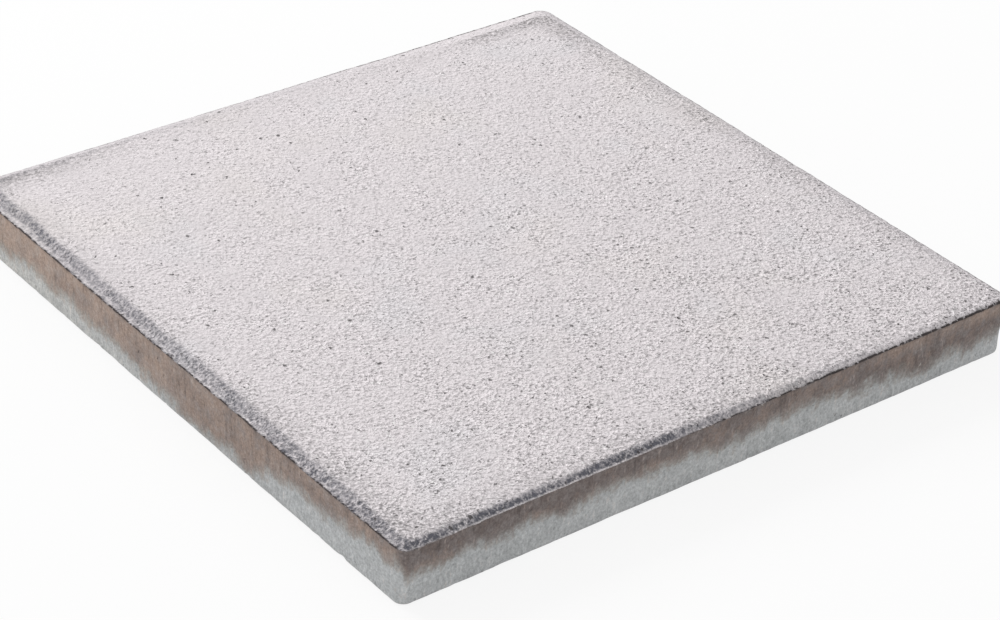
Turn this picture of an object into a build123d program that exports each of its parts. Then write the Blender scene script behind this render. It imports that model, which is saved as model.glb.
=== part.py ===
import os

from build123d import *

# Sizes in mm
slab_length = 400.0  # along X
slab_width = 400.0  # along Y
slab_thickness = 35.0
corner_radius = 7.0  # the four upright corners, in plan
lip_width = 2.0  # level lip left all round the foot of the bevel
bevel_width = 5.0  # plan width of the slope up to the wearing face
bevel_height = 3.0
crown_radius = 6.0  # rounding where the slope turns into the wearing face
foot_radius = 1.5  # softened lower arris

lip_level = slab_thickness - bevel_height


def outline(inset, level):
    sketch = RectangleRounded(slab_length - 2 * inset, slab_width - 2 * inset, corner_radius)
    return Pos(0, 0, level) * sketch


# The body below the lip, standing on its softened lower arris
body = extrude(outline(0, 0), amount=lip_level)
body = fillet(body.faces().sort_by(Axis.Z)[0].edges(), foot_radius)

# The raised wearing face with its bevel, cast in one with the body
face = loft([outline(lip_width, lip_level), outline(lip_width + bevel_width, slab_thickness)], ruled=True)
face = fillet(face.faces().sort_by(Axis.Z)[-1].edges(), crown_radius)

slab = body + face

os.makedirs("parts", exist_ok=True)
export_step(slab, "parts/paving_slab.step")
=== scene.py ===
import math

import bpy
import numpy as np
from mathutils import Matrix, Vector


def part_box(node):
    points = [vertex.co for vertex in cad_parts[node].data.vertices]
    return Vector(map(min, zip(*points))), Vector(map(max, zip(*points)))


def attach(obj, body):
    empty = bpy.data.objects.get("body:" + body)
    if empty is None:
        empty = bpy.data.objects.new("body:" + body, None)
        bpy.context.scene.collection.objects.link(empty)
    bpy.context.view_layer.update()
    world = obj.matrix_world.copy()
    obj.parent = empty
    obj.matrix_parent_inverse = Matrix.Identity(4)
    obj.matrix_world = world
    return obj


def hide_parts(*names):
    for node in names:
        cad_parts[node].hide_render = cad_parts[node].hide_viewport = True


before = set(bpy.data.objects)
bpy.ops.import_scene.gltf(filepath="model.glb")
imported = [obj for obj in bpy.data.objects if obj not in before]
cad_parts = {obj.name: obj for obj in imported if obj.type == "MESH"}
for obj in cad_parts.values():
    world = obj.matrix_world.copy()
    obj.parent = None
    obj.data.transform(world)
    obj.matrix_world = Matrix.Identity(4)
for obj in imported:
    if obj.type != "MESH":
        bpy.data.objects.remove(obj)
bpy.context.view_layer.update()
print("frame loaded:", sorted(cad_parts))

mmPerMetre = 1000

# the cast shape and its grid, in mm unless it says otherwise
slabShape = {
    "node": "paving_slab",
    "cornerRadius": 7.0,
    "cornerBlend": 2.0,  # how near to a corner the lists of its two edges mix
    "footRadius": 1.5,
    "footTurns": (30, 60, 90),  # degrees
    "rimLines": (0.0, 0.6, 1.2, 1.8, 2.4, 3.0, 3.7, 4.4, 5.1, 5.8, 6.6, 7.4, 8.3, 9.3, 10.4),
    "faceCells": 236,  # with the rim cells, a multiple of four
    "lipRows": (0.016, 0.04, 0.07),  # close rows below the lip, as shares of the side's height
    "sideStart": 0.115,  # even rows from here down to the foot
    "sideRows": 13,
    "underRing": 4.0,  # how far in from the outline the underside's ring and grid lie
    "underGrid": 8.0,
    "underEvery": 4,  # the underside has one grid line for this many of the face's
    "ringLift": 0.05,
    "mapFace": 0.74,  # the wearing face's share of the bake map's width
    "mapGap": 0.007,
    "seed": 7,
    "noiseCells": (128, 128, 24),
    "noiseShift": 63.41,  # in cells, to the middle of the noise
}

low, high = (np.array(corner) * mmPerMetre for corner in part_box(slabShape["node"]))
halfX, halfY, top = (high[0] - low[0]) / 2, (high[1] - low[1]) / 2, high[2]


def softStep(value, start, end):
    share = np.clip((value - start) / (end - start), 0, 1)
    return share * share * (3 - 2 * share)


def softRamp(value, softness):  # zero below zero, rising one for one above it
    return softness * np.logaddexp(0, value / softness)


def lumps(points, size, number):  # soft noise between -1 and 1, size in mm
    random = np.random.default_rng(slabShape["seed"] + number)
    lattice = random.uniform(-1, 1, slabShape["noiseCells"])
    spot = points / size + slabShape["noiseShift"]
    cell = np.floor(spot).astype(int)
    part = spot - cell
    part = part * part * (3 - 2 * part)
    total = np.zeros(len(points))
    for corner in range(8):
        step = np.array((corner & 1, corner >> 1 & 1, corner >> 2 & 1))
        weight = np.where(step == 1, part, 1 - part).prod(1)
        at = (cell + step) % np.array(lattice.shape)
        total += weight * lattice[at[:, 0], at[:, 1], at[:, 2]]
    return total


# uneven places: height in mm or as a share, size in mm and the number of the noise
unevenness = {
    "bevelFine": (0.5, 4, 0),
    "bevelSlow": (0.6, 13, 1),
    "lipWidth": (0.35, 22, 2),
    "lipRagged": (0.35, 5, 3),
    "faceGrain": (0.18, 3.2, 6),
    "faceDimples": (0.10, 8, 7),
    "faceWaves": (0.12, 45, 8),
    "edgeWaves": (0.30, 30, 9),
    "edgeRough": (0.20, 3, 11),
    "sideRuns": (0.12, 3.5, 13),
    "sideGrain": (0.16, 2.6, 14),
    "sideWaves": (0.45, 24, 15),
    "underDimples": (0.25, 16, 17),
    "underWaves": (0.20, 60, 18),
    "lipCrumbs": (0.20, 3.6, 19),
    "cloudPatches": (0.6, 25, 20),
    "dirtShadePatches": (0.25, 14, 21),
    "dirtShadeEdge": (1.2, 18, 22),
    "lipSpecks": (1.3, 2.6, 23),
}

# broken places: depth and size in mm, the number of the noise, and where in it they start and are whole
chips = {
    "largeNicks": (0.35, 9, 4, 0.35, 0.9),
    "smallNicks": (0.175, 3.5, 5, 0.3, 0.9),
    "edgeBreaks": (0.45, 8, 10, 0.2, 1.0),
    "footChips": (0.9, 5, 16, 0.2, 0.9),
}


def uneven(points, name):  # between minus and plus its height
    height, size, number = unevenness[name]
    return height * lumps(points, size, number)


def worn(points, name):  # between nothing and its height
    height, size, number = unevenness[name]
    return height * (1 + lumps(points, size, number)) / 2


def broken(points, name):  # nothing in most places, and its depth in a few
    depth, size, number, start, whole = chips[name]
    return depth * softStep(lumps(points, size, number), start, whole)


def roundCorners(x, y):  # bends the square's four corners round
    radius = slabShape["cornerRadius"]
    u = np.clip((np.abs(x) - (halfX - radius)) / radius, 0, 1)
    v = np.clip((np.abs(y) - (halfY - radius)) / radius, 0, 1)
    inCorner = (u > 0) & (v > 0)
    bentX = np.sign(x) * (halfX - radius + radius * u * np.sqrt(1 - v * v / 2))
    bentY = np.sign(y) * (halfY - radius + radius * v * np.sqrt(1 - u * u / 2))
    return np.where(inCorner, bentX, x), np.where(inCorner, bentY, y)


def insetFrom(x, y):  # how far in from the outline a point lies
    radius = slabShape["cornerRadius"]
    qx, qy = np.abs(x) - (halfX - radius), np.abs(y) - (halfY - radius)
    straight = radius - np.maximum(qx, qy)
    under = (qx + qy) ** 2 - 2 * (qx * qx + qy * qy - radius * radius)
    curved = (np.sqrt(np.maximum(under, 0)) - (qx + qy)) / 2
    bent = (under >= 0) & (qx + curved > 0) & (qy + curved > 0)
    return np.maximum(np.where(bent, curved, straight), 0)


def outward(x, y):  # level direction straight out of the side
    radius = slabShape["cornerRadius"]
    qx = np.maximum(np.abs(x) - (halfX - radius), 0)
    qy = np.maximum(np.abs(y) - (halfY - radius), 0)
    way = np.stack([np.sign(x) * qx, np.sign(y) * qy, np.zeros_like(x)], 1)
    return way / np.maximum(np.linalg.norm(way, axis=1, keepdims=True), 1e-6)


def alongEdges(x, y, values, name):  # blends the four edges' lists by nearness
    reach = {"west": x + halfX, "east": halfX - x, "south": y + halfY, "north": halfY - y}
    total, weights = 0, 0
    for edge, distance in reach.items():
        share = (y / halfY + 1) / 2 if edge in ("west", "east") else (x / halfX + 1) / 2
        ends = values[edge][name]
        value = np.interp(share, np.linspace(0, 1, len(ends)), ends)
        weight = 1 / (np.maximum(distance, 0) + slabShape["cornerBlend"]) ** 3
        total = total + weight * value
        weights = weights + weight
    return total / weights


def edgeLoss(points):  # wear pulls the outer edge in a little
    return worn(points, "edgeWaves") + broken(points, "edgeBreaks") + worn(points, "edgeRough")


def gridLines(half):  # closer together near the rim
    rim = np.array(slabShape["rimLines"])
    inner = np.linspace(-half + rim[-1], half - rim[-1], slabShape["faceCells"] + 1)
    return np.concatenate([-half + rim[:-1], inner, half - rim[:-1][::-1]])


def gridPoints(every):
    x, y = np.meshgrid(gridLines(halfX)[::every], gridLines(halfY)[::every], indexing="ij")
    return roundCorners(x.ravel(), y.ravel())


def gridFaces(cells, start, facingUp):
    i, j = np.meshgrid(np.arange(cells), np.arange(cells), indexing="ij")
    first = (start + i * (cells + 1) + j).ravel()
    ring = np.stack([first, first + cells + 1, first + cells + 2, first + 1], 1)
    return ring if facingUp else ring[:, ::-1]


def gridBorder(cells):  # anticlockwise from above, south side first
    n = cells + 1
    south = [i * n for i in range(cells)]
    east = [cells * n + j for j in range(cells)]
    north = [i * n + cells for i in range(cells, 0, -1)]
    west = [j for j in range(cells, 0, -1)]
    return np.array(south + east + north + west)


# how the rim is drawn, in mm unless it says otherwise
rimShape = {
    "leastLip": 0.1,
    "lipTurn": 0.07,  # how softly lip and bevel, then bevel and face, meet: shares of the bevel's width
    "crownTurn": 0.2,
    "wanderFrom": (0.1, 0.9),  # the share of the bevel over which its crown starts to wander
    "grainGrows": (1600, 480),  # how far east and south the face's grain gains its own height
    "crumbReach": 1.0,
    "nickReach": 1.2,
    "wearReach": 6.0,
    "lipFade": 0.5,
    "dirtShadeFade": 1.8,
    "dirtShadeWander": 0.4,  # how much the bevel band's dirt and painted shade follow the crown
    "faceFade": (-0.6, 0.9),
    "cloudFade": (9, 26),
    "lineWidth": 1.3,
}

# each edge's rim, as lists that run evenly along it from its low end in x or y to its high end:
# lip, bevel, drop and spill (how far the bevel's dirt and painted shade run on over the face) in mm, then
# how dark its parts are: the lip's dirt, the bevel's dirt and painted shade, the painted shadow line at the
# outer edge, the cloud's dirt
edgeWear = {
    "west": {
        "lip": (1.5, 2.2, 2.8, 3.4, 4.4, 4.6),
        "bevel": (3.6, 3.2),
        "drop": (2.6, 3.0),
        "spill": (2.3, 1.9, 2.0, 2.6),
        "lipGrime": (0.58, 0.56, 0.54, 0.44, 0.38, 0.38, 0.38, 0.28, 0.22, 0.42),
        "grimeAndShade": (0.66, 0.62, 0.62, 0.58, 0.57, 0.56, 0.55, 0.58, 0.62, 0.60),
        "line": (2.6, 2.5, 2.3, 2.1, 2.8, 4.6, 3.8),
        "cloud": (0.32, 0.30, 0.12, 0.10, 0.16, 0.22),
    },
    "south": {
        "lip": (0.7, 1.0, 1.0, 1.0, 0.5, 0.4, 0.3),
        "bevel": (3.0, 2.6, 1.8),
        "drop": (2.8, 2.4, 1.6),
        "spill": (0.0, 0.5, 0.9, 1.2, 1.2),
        "lipGrime": (0.50, 0.08, 0.0, 0.0, 0.26, 0.50, 0.60, 0.60, 0.60, 0.60),
        "grimeAndShade": (0.90, 0.94, 0.92, 0.92, 0.86, 0.58, 0.42, 0.22, 0.12, 0.12, 0.12),
        "line": (0.9, 0.2, 0.0, 0.1, 0.6, 1.3, 1.9, 2.6, 3.2, 3.4, 3.4),
        "cloud": (0.24, 0.16, 0.10),
    },
    "east": {
        "lip": (0.6, 1.0),
        "bevel": (4.0, 5.0),
        "drop": (1.6, 2.4),
        "spill": (1.2, 1.2),
        "lipGrime": (0.20, 0.25),
        "grimeAndShade": (0.18, 0.20),
        "line": (0.3, 0.3),
        "cloud": (0.10, 0.12, 0.16, 0.22, 0.50),
    },
    "north": {
        "lip": (0.8, 0.8),
        "bevel": (4.0, 4.2, 6.0, 9.0, 9.2),
        "drop": (2.0, 2.4),
        "spill": (4.0, 3.0, 2.0, 0.0, 0.0),
        "lipGrime": (0.20, 0.10, 0.0),
        "grimeAndShade": (0.34, 0.22, 0.20, 0.16, 0.12, 0.06, 0.0, 0.0),
        "line": (0.2, 0.6, 2.2),
        "cloud": (0.62, 0.30, 0.14, 0.09, 0.07, 0.08, 0.12, 0.16, 0.48, 0.95),
    },
}


def wearingFace():  # lip, bevel and face in one grid
    x, y = gridPoints(1)
    inset = insetFrom(x, y)
    flat = np.stack([x, y, np.zeros_like(x)], 1)
    edge = {name: alongEdges(x, y, edgeWear, name) for name in edgeWear["west"]}
    lip = edge["lip"] * (1 + uneven(flat, "lipWidth")) + uneven(flat, "lipRagged")
    up = inset - np.maximum(lip, rimShape["leastLip"])
    climb = up / edge["bevel"]
    wander = uneven(flat, "bevelFine") + uneven(flat, "bevelSlow")
    crown = wander / edge["bevel"] * softStep(climb, *rimShape["wanderFrom"])
    rise = softRamp(climb, rimShape["lipTurn"])
    rise = np.clip(1 - softRamp(1 - rise - crown, rimShape["crownTurn"]), 0, 1)

    nicks = broken(flat, "largeNicks") + broken(flat, "smallNicks")
    east, south = rimShape["grainGrows"]
    relief = (1 - y / south + x / east) * uneven(flat, "faceGrain")
    relief += uneven(flat, "faceDimples") + uneven(flat, "faceWaves")
    relief += uneven(flat, "lipCrumbs") * (1 - rise) * softStep(inset, 0, rimShape["crumbReach"])
    z = top - edge["drop"] * (1 - rise) - nicks * np.exp(-inset / rimShape["nickReach"]) + relief
    z += top - z.max()
    points = np.stack([x, y, z], 1)
    wear = edgeLoss(points) * np.clip(1 - inset / rimShape["wearReach"], 0, 1)
    points -= outward(x, y) * wear[:, None]

    onLip = 1 - softStep(up, -rimShape["lipFade"], rimShape["lipFade"])
    past = up + rimShape["dirtShadeWander"] * wander + uneven(flat, "dirtShadeEdge") - edge["bevel"] - edge["spill"]
    onBevel = (1 - onLip) * (1 - softStep(past, -rimShape["dirtShadeFade"], rimShape["dirtShadeFade"]))
    onFace = softStep(up - edge["bevel"], *rimShape["faceFade"])
    nearEdge = 1 - softStep(inset, *rimShape["cloudFade"])
    lipDirt = edge["lipGrime"] * onLip * (1 + uneven(flat, "lipSpecks"))
    # the bevel band: dirt, and painted shade where a bevel faces away from the lamp
    bevelDirtAndShade = edge["grimeAndShade"] * onBevel * (1 + uneven(flat, "dirtShadePatches"))
    marks = {
        "grimeAndShade": lipDirt + bevelDirtAndShade,
        # a painted shadow line along the outer edge
        "line": edge["line"] * np.clip(1 - inset / rimShape["lineWidth"], 0, 1),
        "cloud": edge["cloud"] * onFace * nearEdge * (1 + uneven(flat, "cloudPatches")),
    }
    return points, marks


# how the sides are drawn, in mm unless it says otherwise
sideShape = {
    "runStretch": 0.12,  # draws the runs out downwards
    "chipHeight": 3.5,
    "pits": 80,
    "pitNoise": 12,
    "pitsAbove": 4.0,  # from the foot, then from the top
    "pitsBelow": 6.0,
    "pitSize": (0.7, 1.7),
    "pitDepth": (0.3, 0.7),  # shares of the size
    "pitSquash": 0.8,
    "pitCurve": 0.7,
    "underLipFade": (3, 12),
    "lineRows": (0.14, 0.04),  # how much of the painted shadow line along the outer edge runs on over the first rows
}

# the sides' stain, in lists of the same kind: how far down it reaches as a share of the height, how dark
# it is, how much darker just below the lip, and how pale the bare concrete is under it
sideStain = {
    "west": {
        "depth": (0.25, 0.36, 0.40, 0.54, 0.82, 0.86, 0.75, 0.64, 0.60, 0.60, 0.60, 0.66, 0.72),
        "soak": (0.56, 0.50, 0.54, 0.42, 0.30, 0.38),
        "underLip": (0.08, 0.06, 0.0, -0.16, -0.10, -0.14),
        "bloom": (0.0, 0.0, 0.1, 0.5, 0.9),
    },
    "south": {
        "depth": (0.46, 0.43, 0.39, 0.46, 0.39, 0.46, 0.52, 0.40, 0.47, 0.54, 0.68, 0.62, 0.54),
        "soak": (0.84, 0.85, 0.82, 0.76, 0.92, 0.96),
        "underLip": (0.36, 0.40, 0.26, 0.12, -0.2, -0.3),
        "bloom": (0.0, 0.1, 0.0),
    },
    "east": {
        "depth": (0.50, 0.40, 0.46, 0.60, 0.44, 0.36),
        "soak": (0.7, 0.4),
        "underLip": (0.0, 0.1),
        "bloom": (0.1, 0.4),
    },
    "north": {
        "depth": (0.62, 0.46, 0.36, 0.50, 0.42, 0.36),
        "soak": (0.40, 0.55, 0.45),
        "underLip": (0.0, 0.1),
        "bloom": (0.7, 0.2),
    },
}


def sideRings(lipLine):  # rows of points from the lip's outer edge down to the softened foot
    x, y, lipZ = lipLine.T
    foot = slabShape["footRadius"]
    way = outward(x, y)
    stain = {name: alongEdges(x, y, sideStain, name) for name in sideStain["west"]}
    line = alongEdges(x, y, edgeWear, "line")
    rows = np.linspace(slabShape["sideStart"], 1, slabShape["sideRows"])
    shares = np.concatenate([slabShape["lipRows"], rows])
    levels = [(foot + (lipZ - foot) * (1 - share), 0) for share in shares]
    for turn in np.radians(slabShape["footTurns"]):
        levels.append((foot * (1 - math.sin(turn)) + 0 * lipZ, foot * (1 - math.cos(turn))))

    random = np.random.default_rng(slabShape["seed"] + sideShape["pitNoise"])
    count = sideShape["pits"]
    pitAt = random.integers(0, len(x), count)
    pitZ = random.uniform(sideShape["pitsAbove"], top - sideShape["pitsBelow"], count)
    pitSize = random.uniform(*sideShape["pitSize"], count)
    pitDeep = pitSize * random.uniform(*sideShape["pitDepth"], count)

    rings = []
    lineShares = sideShape["lineRows"] + (0,) * len(levels)
    for (level, tuck), lineShare in zip(levels, lineShares):
        here = np.stack([x, y, level], 1)
        drawnOut = here * np.array((1, 1, sideShape["runStretch"]))
        push = edgeLoss(here) + worn(here, "sideGrain") + worn(drawnOut, "sideRuns") + worn(here, "sideWaves")
        footChips = broken(here * np.array((1, 1, 0)), "footChips")
        push += footChips * np.clip(1 - level / sideShape["chipHeight"], 0, 1)
        for at, z, size, deep in zip(pitAt, pitZ, pitSize, pitDeep):
            gap = np.hypot(np.hypot(x - x[at], y - y[at]), (level - z) * sideShape["pitSquash"])
            push += deep * np.clip(1 - gap / size, 0, 1) ** sideShape["pitCurve"]
        underLip = 1 - softStep(lipZ - level, *sideShape["underLipFade"])
        marks = {
            "side": np.ones_like(x),
            "line": line * lineShare,
            "stainLine": lipZ * (1 - stain["depth"]),
            "soak": stain["soak"] + stain["underLip"] * underLip,
            "bloom": stain["bloom"],
        }
        up = (level - tuck + foot) / (lipZ + foot)
        rings.append((here - way * (push + tuck)[:, None], marks, up))
    return rings


def underside(outline):  # two stitched rings thin the foot's ring out to a coarse grid
    ring = outline[::2] * (1 - slabShape["underRing"] / halfX)
    ring[:, 2] = slabShape["ringLift"]
    x, y = gridPoints(slabShape["underEvery"])
    grid = np.stack([x, y, 0 * x], 1) * (1 - slabShape["underGrid"] / halfX)
    grid[:, 2] = worn(grid, "underDimples") + worn(grid, "underWaves")
    return ring, grid


def stitch(outer, inner):  # triangles between a ring and one of half as many points
    f0, f1, f2 = outer[0::2], outer[1::2], np.roll(outer, -2)[0::2]
    c0, c1 = inner, np.roll(inner, -1)
    return np.concatenate(
        [np.stack([c0, f1, f0], 1), np.stack([c0, c1, f1], 1), np.stack([c1, f2, f1], 1)]
    )


def levelPlace(points, size, left, bottom):  # bake map places of what is seen from above or below
    across = left + size * (points[..., 0] / halfX + 1) / 2
    upward = bottom + size * (points[..., 1] / halfY + 1) / 2
    return np.stack([across, upward], -1)


def stripPlace(side, along, up):  # bake map places on the four sides' strips
    face, gap = slabShape["mapFace"], slabShape["mapGap"]
    tall = face * top / (2 * halfX)
    column = face + 2 * gap
    lying = np.stack([gap + face * along, column + side * (tall + gap) + tall * up], -1)
    upright = np.stack([column + tall * up, 1 - gap - face * along], -1)
    return np.where((side < 3)[..., None], lying, upright)


def walkRound(lipLine, cells):  # each lip cell's side, and its two ends as shares of that side's length
    side = np.arange(len(lipLine)) // cells
    walked = np.cumsum(np.linalg.norm(np.diff(lipLine, axis=0, append=lipLine[:1]), axis=1))
    sideEnds = walked[cells - 1 :: cells]
    sideStarts = np.concatenate([[0], sideEnds[:-1]])
    length = (sideEnds - sideStarts)[side]
    ahead = (walked - sideStarts[side]) / length
    behind = (np.concatenate([[0], walked[:-1]]) - sideStarts[side]) / length
    return side, behind, ahead


def makeMesh(points, quads, triangles, marks, places):
    allPoints = np.concatenate(points)
    corners = np.concatenate([part.ravel() for part in quads] + [triangles.ravel()])
    quadCount = sum(len(part) for part in quads)
    sizes = np.concatenate([np.full(quadCount, 4), np.full(len(triangles), 3)])
    mesh = bpy.data.meshes.new("pavingSlab")
    mesh.vertices.add(len(allPoints))
    mesh.vertices.foreach_set("co", (allPoints / mmPerMetre).ravel())
    mesh.loops.add(len(corners))
    mesh.loops.foreach_set("vertex_index", corners)
    mesh.polygons.add(len(sizes))
    mesh.polygons.foreach_set("loop_start", np.concatenate([[0], np.cumsum(sizes)[:-1]]))
    mesh.polygons.foreach_set("use_smooth", np.ones(len(sizes), bool))
    mesh.update(calc_edges=True)
    for name in ("side", "grimeAndShade", "line", "cloud", "stainLine", "soak", "bloom"):
        made = mesh.attributes.new(name, "FLOAT", "POINT")
        values = [mark.get(name, np.zeros(len(part))) for mark, part in zip(marks, points)]
        made.data.foreach_set("value", np.concatenate(values).astype(np.float32))
    bakeMap = mesh.uv_layers.new(name="OFBake")
    bakeMap.uv.foreach_set("vector", np.concatenate([p.reshape(-1, 2) for p in places]).ravel())
    repaired = mesh.validate()
    triangleCount = 2 * quadCount + len(triangles)
    print("slab mesh:", len(allPoints), "points,", triangleCount, "triangles, repaired:", repaired)
    return mesh


def buildSlab():
    facePoints, faceMarks = wearingFace()
    cells = len(gridLines(halfX)) - 1
    border = gridBorder(cells)
    x, y = gridPoints(1)
    lipLine = np.stack([x[border], y[border], facePoints[border, 2]], 1)
    rings = sideRings(lipLine)
    middle, grid = underside(lipLine)
    points = [facePoints] + [ring for ring, marks, up in rings] + [middle, grid]
    starts = np.cumsum([0] + [len(part) for part in points])
    marks = [faceMarks] + [ringMarks for ring, ringMarks, up in rings] + [{}, {}]

    # four-sided faces and their bake map places: wearing face, side rings, underside grid
    face, gap = slabShape["mapFace"], slabShape["mapGap"]
    quads = [gridFaces(cells, 0, True)]
    places = [levelPlace(facePoints[quads[0]], face, gap, gap)]
    here = np.arange(len(border))
    following = np.roll(here, -1)
    side, behind, ahead = walkRound(lipLine, cells)
    along = np.stack([behind, ahead, ahead, behind], 1)
    above, upAbove = border, np.ones(len(border))
    for number, (ring, ringMarks, up) in enumerate(rings):
        below = starts[number + 1] + here
        quads.append(np.stack([below, below[following], above[following], above], 1))
        rise = np.stack([up, up[following], upAbove[following], upAbove], 1)
        places.append(stripPlace(np.repeat(side[:, None], 4, 1), along, rise))
        above, upAbove = below, up
    coarse = cells // slabShape["underEvery"]
    quads.append(gridFaces(coarse, starts[-2], False))

    # then the stitched triangles round the underside
    inner = starts[-3] + np.arange(len(middle))
    triangles = np.concatenate([stitch(above, inner), stitch(inner, starts[-2] + gridBorder(coarse))])
    allPoints = np.concatenate(points)
    small = 1 - face - 4 * gap
    for below in (quads[-1], triangles):
        places.append(levelPlace(allPoints[below], small, face + 2 * gap, gap))

    slab = bpy.data.objects.new("pavingSlab", makeMesh(points, quads, triangles, marks, places))
    bpy.context.collection.objects.link(slab)
    return slab


def tint(red, green, blue):  # screen values 0 to 255 to linear light
    def linear(value):
        value = value / 255
        return value / 12.92 if value <= 0.04045 else ((value + 0.055) / 1.055) ** 2.4

    return (linear(red), linear(green), linear(blue), 1.0)


class Tone:  # a socket that takes part in sums
    def __init__(self, tree, socket=None):
        self.tree = tree
        self.socket = socket

    def node(self, kind, settings=None, inputs=None, out=0):
        made = self.tree.nodes.new("ShaderNode" + kind)
        for name, value in (settings or {}).items():
            setattr(made, name, value)
        for name, value in (inputs or {}).items():
            if isinstance(value, Tone):
                self.tree.links.new(value.socket, made.inputs[name])
            else:
                made.inputs[name].default_value = value
        return Tone(self.tree, made.outputs[out] if made.outputs else None)

    def also(self, out):  # another output of the same node
        return Tone(self.tree, self.socket.node.outputs[out])

    def math(self, operation, first, second):
        return self.node("Math", {"operation": operation}, {0: first, 1: second})

    def __add__(self, other):
        return self.math("ADD", self, other)

    __radd__ = __add__

    def __sub__(self, other):
        return self.math("SUBTRACT", self, other)

    def __rsub__(self, other):
        return self.math("SUBTRACT", other, self)

    def __mul__(self, other):
        return self.math("MULTIPLY", self, other)

    __rmul__ = __mul__

    def __truediv__(self, other):
        return self.math("DIVIDE", self, other)

    def __rtruediv__(self, other):
        return self.math("DIVIDE", other, self)

    def most(self, other):  # the larger of the two
        return self.math("MAXIMUM", self, other)

    def between(self, start, end):  # soft mask from 0 at start to 1 at end
        return self.node(
            "MapRange",
            {"interpolation_type": "SMOOTHSTEP"},
            {"Value": self, "From Min": start, "From Max": end, "To Min": 0.0, "To Max": 1.0},
        )

    def blend(self, share, first, second, how="MIX"):
        return self.node(
            "Mix",
            {"data_type": "RGBA", "blend_type": how, "clamp_factor": True},
            {0: share, 6: first, 7: second},
            2,
        )


concreteLook = {
    "face": (219, 213, 215),
    "faceWarm": (223, 216, 205),
    "faceCool": (209, 211, 215),
    "pale": (250, 247, 247),  # light sand grains
    "pit": (88, 84, 85),
    "cloud": (144, 140, 141),
    # blue-grey of the bevel band: dirt, and painted shade on bevels that face away from the lamp
    "grimeAndShade": (102, 102, 110),
    "sideGrey": (185, 187, 188),
    "sidePale": (206, 204, 199),
    "brownPale": (180, 159, 146),
    "brownDark": (116, 106, 103),
    "tide": (136, 128, 119),  # the stain's darker foot
    "scratch": (206, 190, 180),
    "crumb": (222, 218, 212),
    # dark colour of the painted shadow line along the outer edge, also of the sides' smears and pores
    "line": (72, 66, 66),
    "under": (186, 184, 181),
    "roughness": 0.9,
    "specular": 0.3,
    "shake": 0.0035,  # metres by which the pores' outlines are shaken, at the noise's full swing
    "bump": 0.001,  # metres of relief for a height of one
}

# the concrete's noises: size in mm, detail, roughness and shift
concreteNoise = {
    "shake": (1.6, 2, 0.5, 0.0),
    "grain": (2.0, 1.5, 0.5, 0.0),
    "fine": (1.0, 1, 0.5, 7.9),
    "drift": (26, 3, 0.6, 2.2),
    "warm": (85, 2, 0.5, 1.7),
    "cool": (60, 2, 0.5, 5.3),
    "patchy": (7, 2, 0.6, 12.3),
    "streak": (3.2, 3, 0.65, 6.1),
    "hair": (1.3, 2, 0.6, 3.3),
    "mottle": (7, 4, 0.7, 7.7),
    "patch": (17, 3, 0.6, 5.5),
    "stainFoot": (22, 2, 0.5, 4.4),
    "sideGrain": (1.5, 3, 0.75, 8.2),
    "gaps": (3.4, 2, 0.6, 9.1),  # breaks in the painted shadow line along the outer edge
}

# its pits, pores and loose grains: cell size and radius in mm, and shift
concreteSpots = {
    "pits": (13, 0.8, 0.0),
    "pores": (4.2, 0.55, 0.37),
    "sand": (2.8, 0.7, 0.71),
    "sideCrumbs": (7.5, 0.9, 0.5),
    "sidePores": (5.4, 0.55, 0.9),
}


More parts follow.
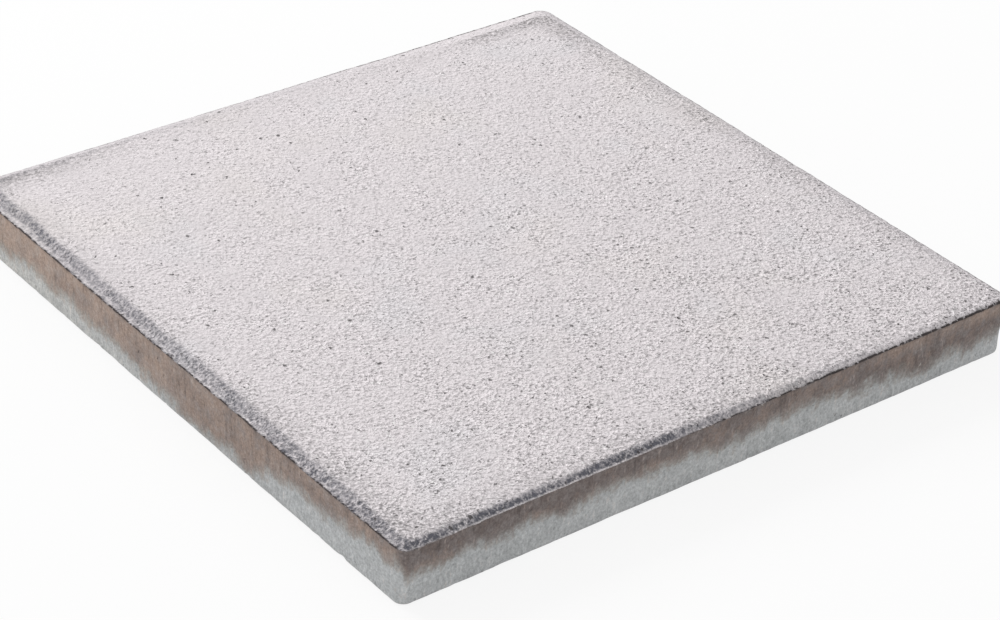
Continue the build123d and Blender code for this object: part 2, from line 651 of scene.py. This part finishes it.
def concreteFinish():
    look = {
        name: tint(*value) if isinstance(value, tuple) else value for name, value in concreteLook.items()
    }
    material = bpy.data.materials.new("castConcrete")
    material.use_nodes = True
    tree = material.node_tree
    tree.nodes.clear()
    shade = Tone(tree)
    place = shade.node("TexCoord", out="Object")
    eastward = shade.node("SeparateXYZ", None, {0: place})
    northward = eastward.also(1)
    height = eastward.also(2) * mmPerMetre

    def mark(name):
        return shade.node("Attribute", {"attribute_name": name}, out="Fac")

    def noise(name, stretch=(1, 1, 1), ways="3D"):
        size, detail, rough, shift = concreteNoise[name]
        turned = {
            "Vector": place,
            "Location": (shift, shift * 0.7, shift * 1.3),
            "Rotation": (0.6, 0.4, 0.5) if ways == "3D" else (0.0, 0.0, 0.5),
            "Scale": stretch,
        }
        inputs = {
            "Vector": shade.node("Mapping", None, turned),
            "Scale": mmPerMetre / size,
            "Detail": detail,
            "Roughness": rough,
        }
        return shade.node("TexNoise", {"noise_dimensions": ways}, inputs)

    # coordinates shaken by half a millimetre or so, for ragged pores
    shake = noise("shake").also("Color")
    shake = shade.node("VectorMath", {"operation": "SUBTRACT"}, {0: shake, 1: (0.5, 0.5, 0.5)})
    shake = shade.node("VectorMath", {"operation": "SCALE"}, {0: shake, "Scale": look["shake"]})
    ragged = shade.node("VectorMath", {"operation": "ADD"}, {0: place, 1: shake})

    def spots(name, keep, stretch=None):  # one spot in some of the cells, more where keep is high
        size, radius, shift = concreteSpots[name]
        at = {"Vector": ragged, "Location": (shift, shift, 0), "Scale": stretch or (1, 1, 1)}
        far = shade.node(
            "TexVoronoi",
            {"voronoi_dimensions": "3D" if stretch else "2D", "feature": "F1"},
            {"Vector": shade.node("Mapping", None, at), "Scale": mmPerMetre / size, "Randomness": 1.0},
        )
        pick = shade.node("SeparateColor", None, {0: far.also("Color")})
        wide = radius / size * (0.45 + 1.1 * pick.also(1))
        return (1 - (far / wide).between(0.4, 1.0)) * (pick + keep).between(1, 1.02)

    side, grimeAndShade, line, cloud = mark("side"), mark("grimeAndShade"), mark("line"), mark("cloud")
    stainLine, soak, bloom = mark("stainLine"), mark("soak"), mark("bloom")

    # wearing face: sandy grain with open pores, coarser towards the south and east
    grain = noise("grain") - 0.5
    fine = noise("fine") - 0.5
    drift = noise("drift", ways="2D") - 0.5
    coarseness = (1.05 - 2.1 * northward + 0.4 * eastward) * (1 + 1.8 * drift)
    pits = spots("pits", 0.26 + 1.2 * drift)
    pores = spots("pores", 0.4 + 0.9 * drift + 0.6 * eastward)
    sand = spots("sand", 0.4)
    warm = noise("warm", ways="2D").between(0.52, 0.8) * 0.16
    cool = noise("cool", ways="2D").between(0.52, 0.8) * 0.2
    colour = shade.blend(warm, look["face"], look["faceWarm"])
    colour = shade.blend(cool, colour, look["faceCool"])
    # painted shade in the grain's hollows, and a painted falloff of light that darkens the face a little
    # towards the east
    hollowShade = (0 - grain).between(0.04, 0.24)
    shading = 1.004 - 0.04 * eastward + 0.12 * drift
    depth = shading + coarseness * (0.45 * grain + 0.7 * fine - 0.2 * (hollowShade - 0.35))
    colour = shade.blend(1.0, colour, depth, "MULTIPLY")
    colour = shade.blend(sand * 0.7 * coarseness, colour, look["pale"])
    colour = shade.blend(cloud * (1 - 4.5 * grain - 3.0 * fine), colour, look["cloud"])
    patchy = noise("patchy")
    # the bevel band of dirt and painted shade, its inner edge broken up by the grain
    colour = shade.blend(grimeAndShade * (0.8 + 0.4 * patchy - 1.8 * grain - 1.4 * fine), colour, look["grimeAndShade"])
    colour = shade.blend(pores * 0.55 * coarseness, colour, look["pit"])
    colour = shade.blend(pits * 0.85, colour, look["pit"])

    # sides: grey below, brown stain above with a soft uneven foot, runs and scratches
    streak = noise("streak", (1, 1, 0.14)) - 0.5
    hair = noise("hair", (1, 1, 0.3)) - 0.5
    mottle = noise("mottle") - 0.5
    patch = noise("patch") - 0.5
    wander = 14 * (noise("stainFoot") - 0.5) + 9 * streak + 4 * hair + 22 * mottle
    stained = (height - stainLine + wander).between(-5.0, 5.0)
    grey = shade.blend(bloom * (0.7 + 1.5 * mottle), look["sideGrey"], look["sidePale"])
    soaked = soak + 1.2 * mottle + 1.1 * patch + 0.9 * hair
    brown = shade.blend(soaked, look["brownPale"], look["brownDark"])
    sideColour = shade.blend(stained * (0.96 - 0.6 * mottle), grey, brown)
    sideColour = shade.blend(stained * (1 - stained) * (1.2 - 1.5 * patch), sideColour, look["tide"])
    scratch = (hair + 0.6 * streak).between(0.1, 0.26)
    sideColour = shade.blend(scratch * 0.22, sideColour, look["scratch"])
    smear = (0 - streak - 0.6 * mottle).between(0.06, 0.24)
    sideColour = shade.blend(smear * stained * 0.3, sideColour, look["line"])
    sideGrain = noise("sideGrain") - 0.5
    tone = 1.02 + 1.3 * sideGrain + 0.4 * streak + 0.5 * hair + 0.6 * mottle
    sideColour = shade.blend(1.0, sideColour, tone, "MULTIPLY")
    sideCrumbs = spots("sideCrumbs", 0.26, (1, 1, 0.7))
    sideColour = shade.blend(sideCrumbs * 0.55, sideColour, look["crumb"])
    sidePores = spots("sidePores", 0.22, (1, 1, 0.6))
    sideColour = shade.blend(sidePores * 0.55, sideColour, look["line"])

    # both together, with the painted shadow line along the outer edge and the plain underside
    colour = shade.blend(side, colour, sideColour)
    unbroken = noise("gaps").between(0.42, 0.56)
    colour = shade.blend(line * (0.2 + 0.85 * unbroken) * (0.5 + patchy), colour, look["line"])
    underTone = 1 + 0.6 * mottle + 0.4 * sideGrain
    isUnder = 1 - height.between(0.3, 1.2)
    colour = shade.blend(isUnder, colour, shade.blend(1.0, look["under"], underTone, "MULTIPLY"))

    onTop = coarseness * (2.0 * grain + 0.4 * fine) - 1.0 * pits - 0.5 * pores + 0.3 * sand
    onSide = 0.5 * sideGrain + 0.4 * streak + 0.3 * hair - 0.5 * sidePores + 0.3 * sideCrumbs
    relief = onTop * (1 - side) + onSide * side
    bump = shade.node("Bump", None, {"Strength": 1.0, "Distance": look["bump"], "Height": relief})
    shader = shade.node(
        "BsdfPrincipled",
        None,
        {
            "Base Color": colour,
            "Roughness": look["roughness"],
            "Specular IOR Level": look["specular"],
            "Normal": bump,
        },
    )
    shade.node("OutputMaterial", None, {"Surface": shader})
    return material


slab = buildSlab()
slab.data.materials.append(concreteFinish())
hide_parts(slabShape["node"])
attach(slab, "root")
print("slab dressed")

stageLook = {
    "floorSize": 8.0,
    "floor": (0.9, 0.9, 0.9, 1.0),
    "white": (1.0, 1.0, 1.0, 1.0),
    "glow": 0.85,  # how much plain white the camera sees on the floor; the rest is lit and shaded
    "worldStrength": 0.72,
    "keyPlace": (-0.55, 2.95, 2.0),
    "keySize": 1.6,
    "keyPower": 70.0,
}


def buildStage():
    half = stageLook["floorSize"] / 2
    corners = [(-half, -half, 0), (half, -half, 0), (half, half, 0), (-half, half, 0)]
    mesh = bpy.data.meshes.new("floor")
    mesh.from_pydata(corners, [], [(0, 1, 2, 3)])
    floor = bpy.data.objects.new("floor", mesh)
    bpy.context.collection.objects.link(floor)
    material = bpy.data.materials.new("paleFloor")
    material.use_nodes = True
    material.node_tree.nodes.clear()
    shade = Tone(material.node_tree)

    def seenDirectly(shade):
        seen = shade.node("LightPath", out="Is Camera Ray")
        return seen.most(seen.also("Is Glossy Ray")).most(seen.also("Is Transmission Ray"))

    matt = shade.node("BsdfDiffuse", None, {"Color": stageLook["floor"]})
    glow = shade.node("Emission", None, {"Color": stageLook["white"], "Strength": 1.0})
    mixed = shade.node("MixShader", None, {0: seenDirectly(shade) * stageLook["glow"], 1: matt, 2: glow})
    shade.node("OutputMaterial", None, {"Surface": mixed})
    mesh.materials.append(material)

    world = bpy.data.worlds.new("studio")
    bpy.context.scene.world = world
    world.use_nodes = True
    world.node_tree.nodes.clear()
    shade = Tone(world.node_tree)
    strength = seenDirectly(shade) * (1 - stageLook["worldStrength"]) + stageLook["worldStrength"]
    back = shade.node("Background", None, {"Color": stageLook["white"], "Strength": strength})
    shade.node("OutputWorld", None, {"Surface": back})

    lamp = bpy.data.lights.new("key", "AREA")
    lamp.shape = "SQUARE"
    lamp.size = stageLook["keySize"]
    lamp.energy = stageLook["keyPower"]
    key = bpy.data.objects.new("key", lamp)
    key.location = stageLook["keyPlace"]
    key.rotation_euler = (-Vector(stageLook["keyPlace"])).to_track_quat("-Z", "Y").to_euler()
    bpy.context.collection.objects.link(key)
    print("stage and light ready")


# place in metres, angles in degrees, lens and sensor in mm
cameraView = {
    "place": (-0.8946, -1.1034, 0.8908),
    "azimuth": -39.49,
    "elevation": 32.38,
    "roll": -3.38,
    "lens": 111.18,
    "sensor": 36.0,
}


def buildCamera():
    turn, tilt, roll = (math.radians(cameraView[name]) for name in ("azimuth", "elevation", "roll"))
    back = Vector((math.sin(turn) * math.cos(tilt), -math.cos(turn) * math.cos(tilt), math.sin(tilt)))
    levelRight = Vector((0, 0, 1)).cross(back).normalized()
    levelUp = back.cross(levelRight)
    right = math.cos(roll) * levelRight - math.sin(roll) * levelUp
    up = math.sin(roll) * levelRight + math.cos(roll) * levelUp
    data = bpy.data.cameras.new("camera")
    data.lens = cameraView["lens"]
    data.sensor_width = cameraView["sensor"]
    camera = bpy.data.objects.new("camera", data)
    turned = Matrix((right, up, back)).transposed().to_4x4()
    camera.matrix_world = Matrix.Translation(cameraView["place"]) @ turned
    bpy.context.collection.objects.link(camera)
    bpy.context.scene.camera = camera
    print("camera placed")


buildStage()
buildCamera()
bpy.context.scene.view_settings.view_transform = "Standard"
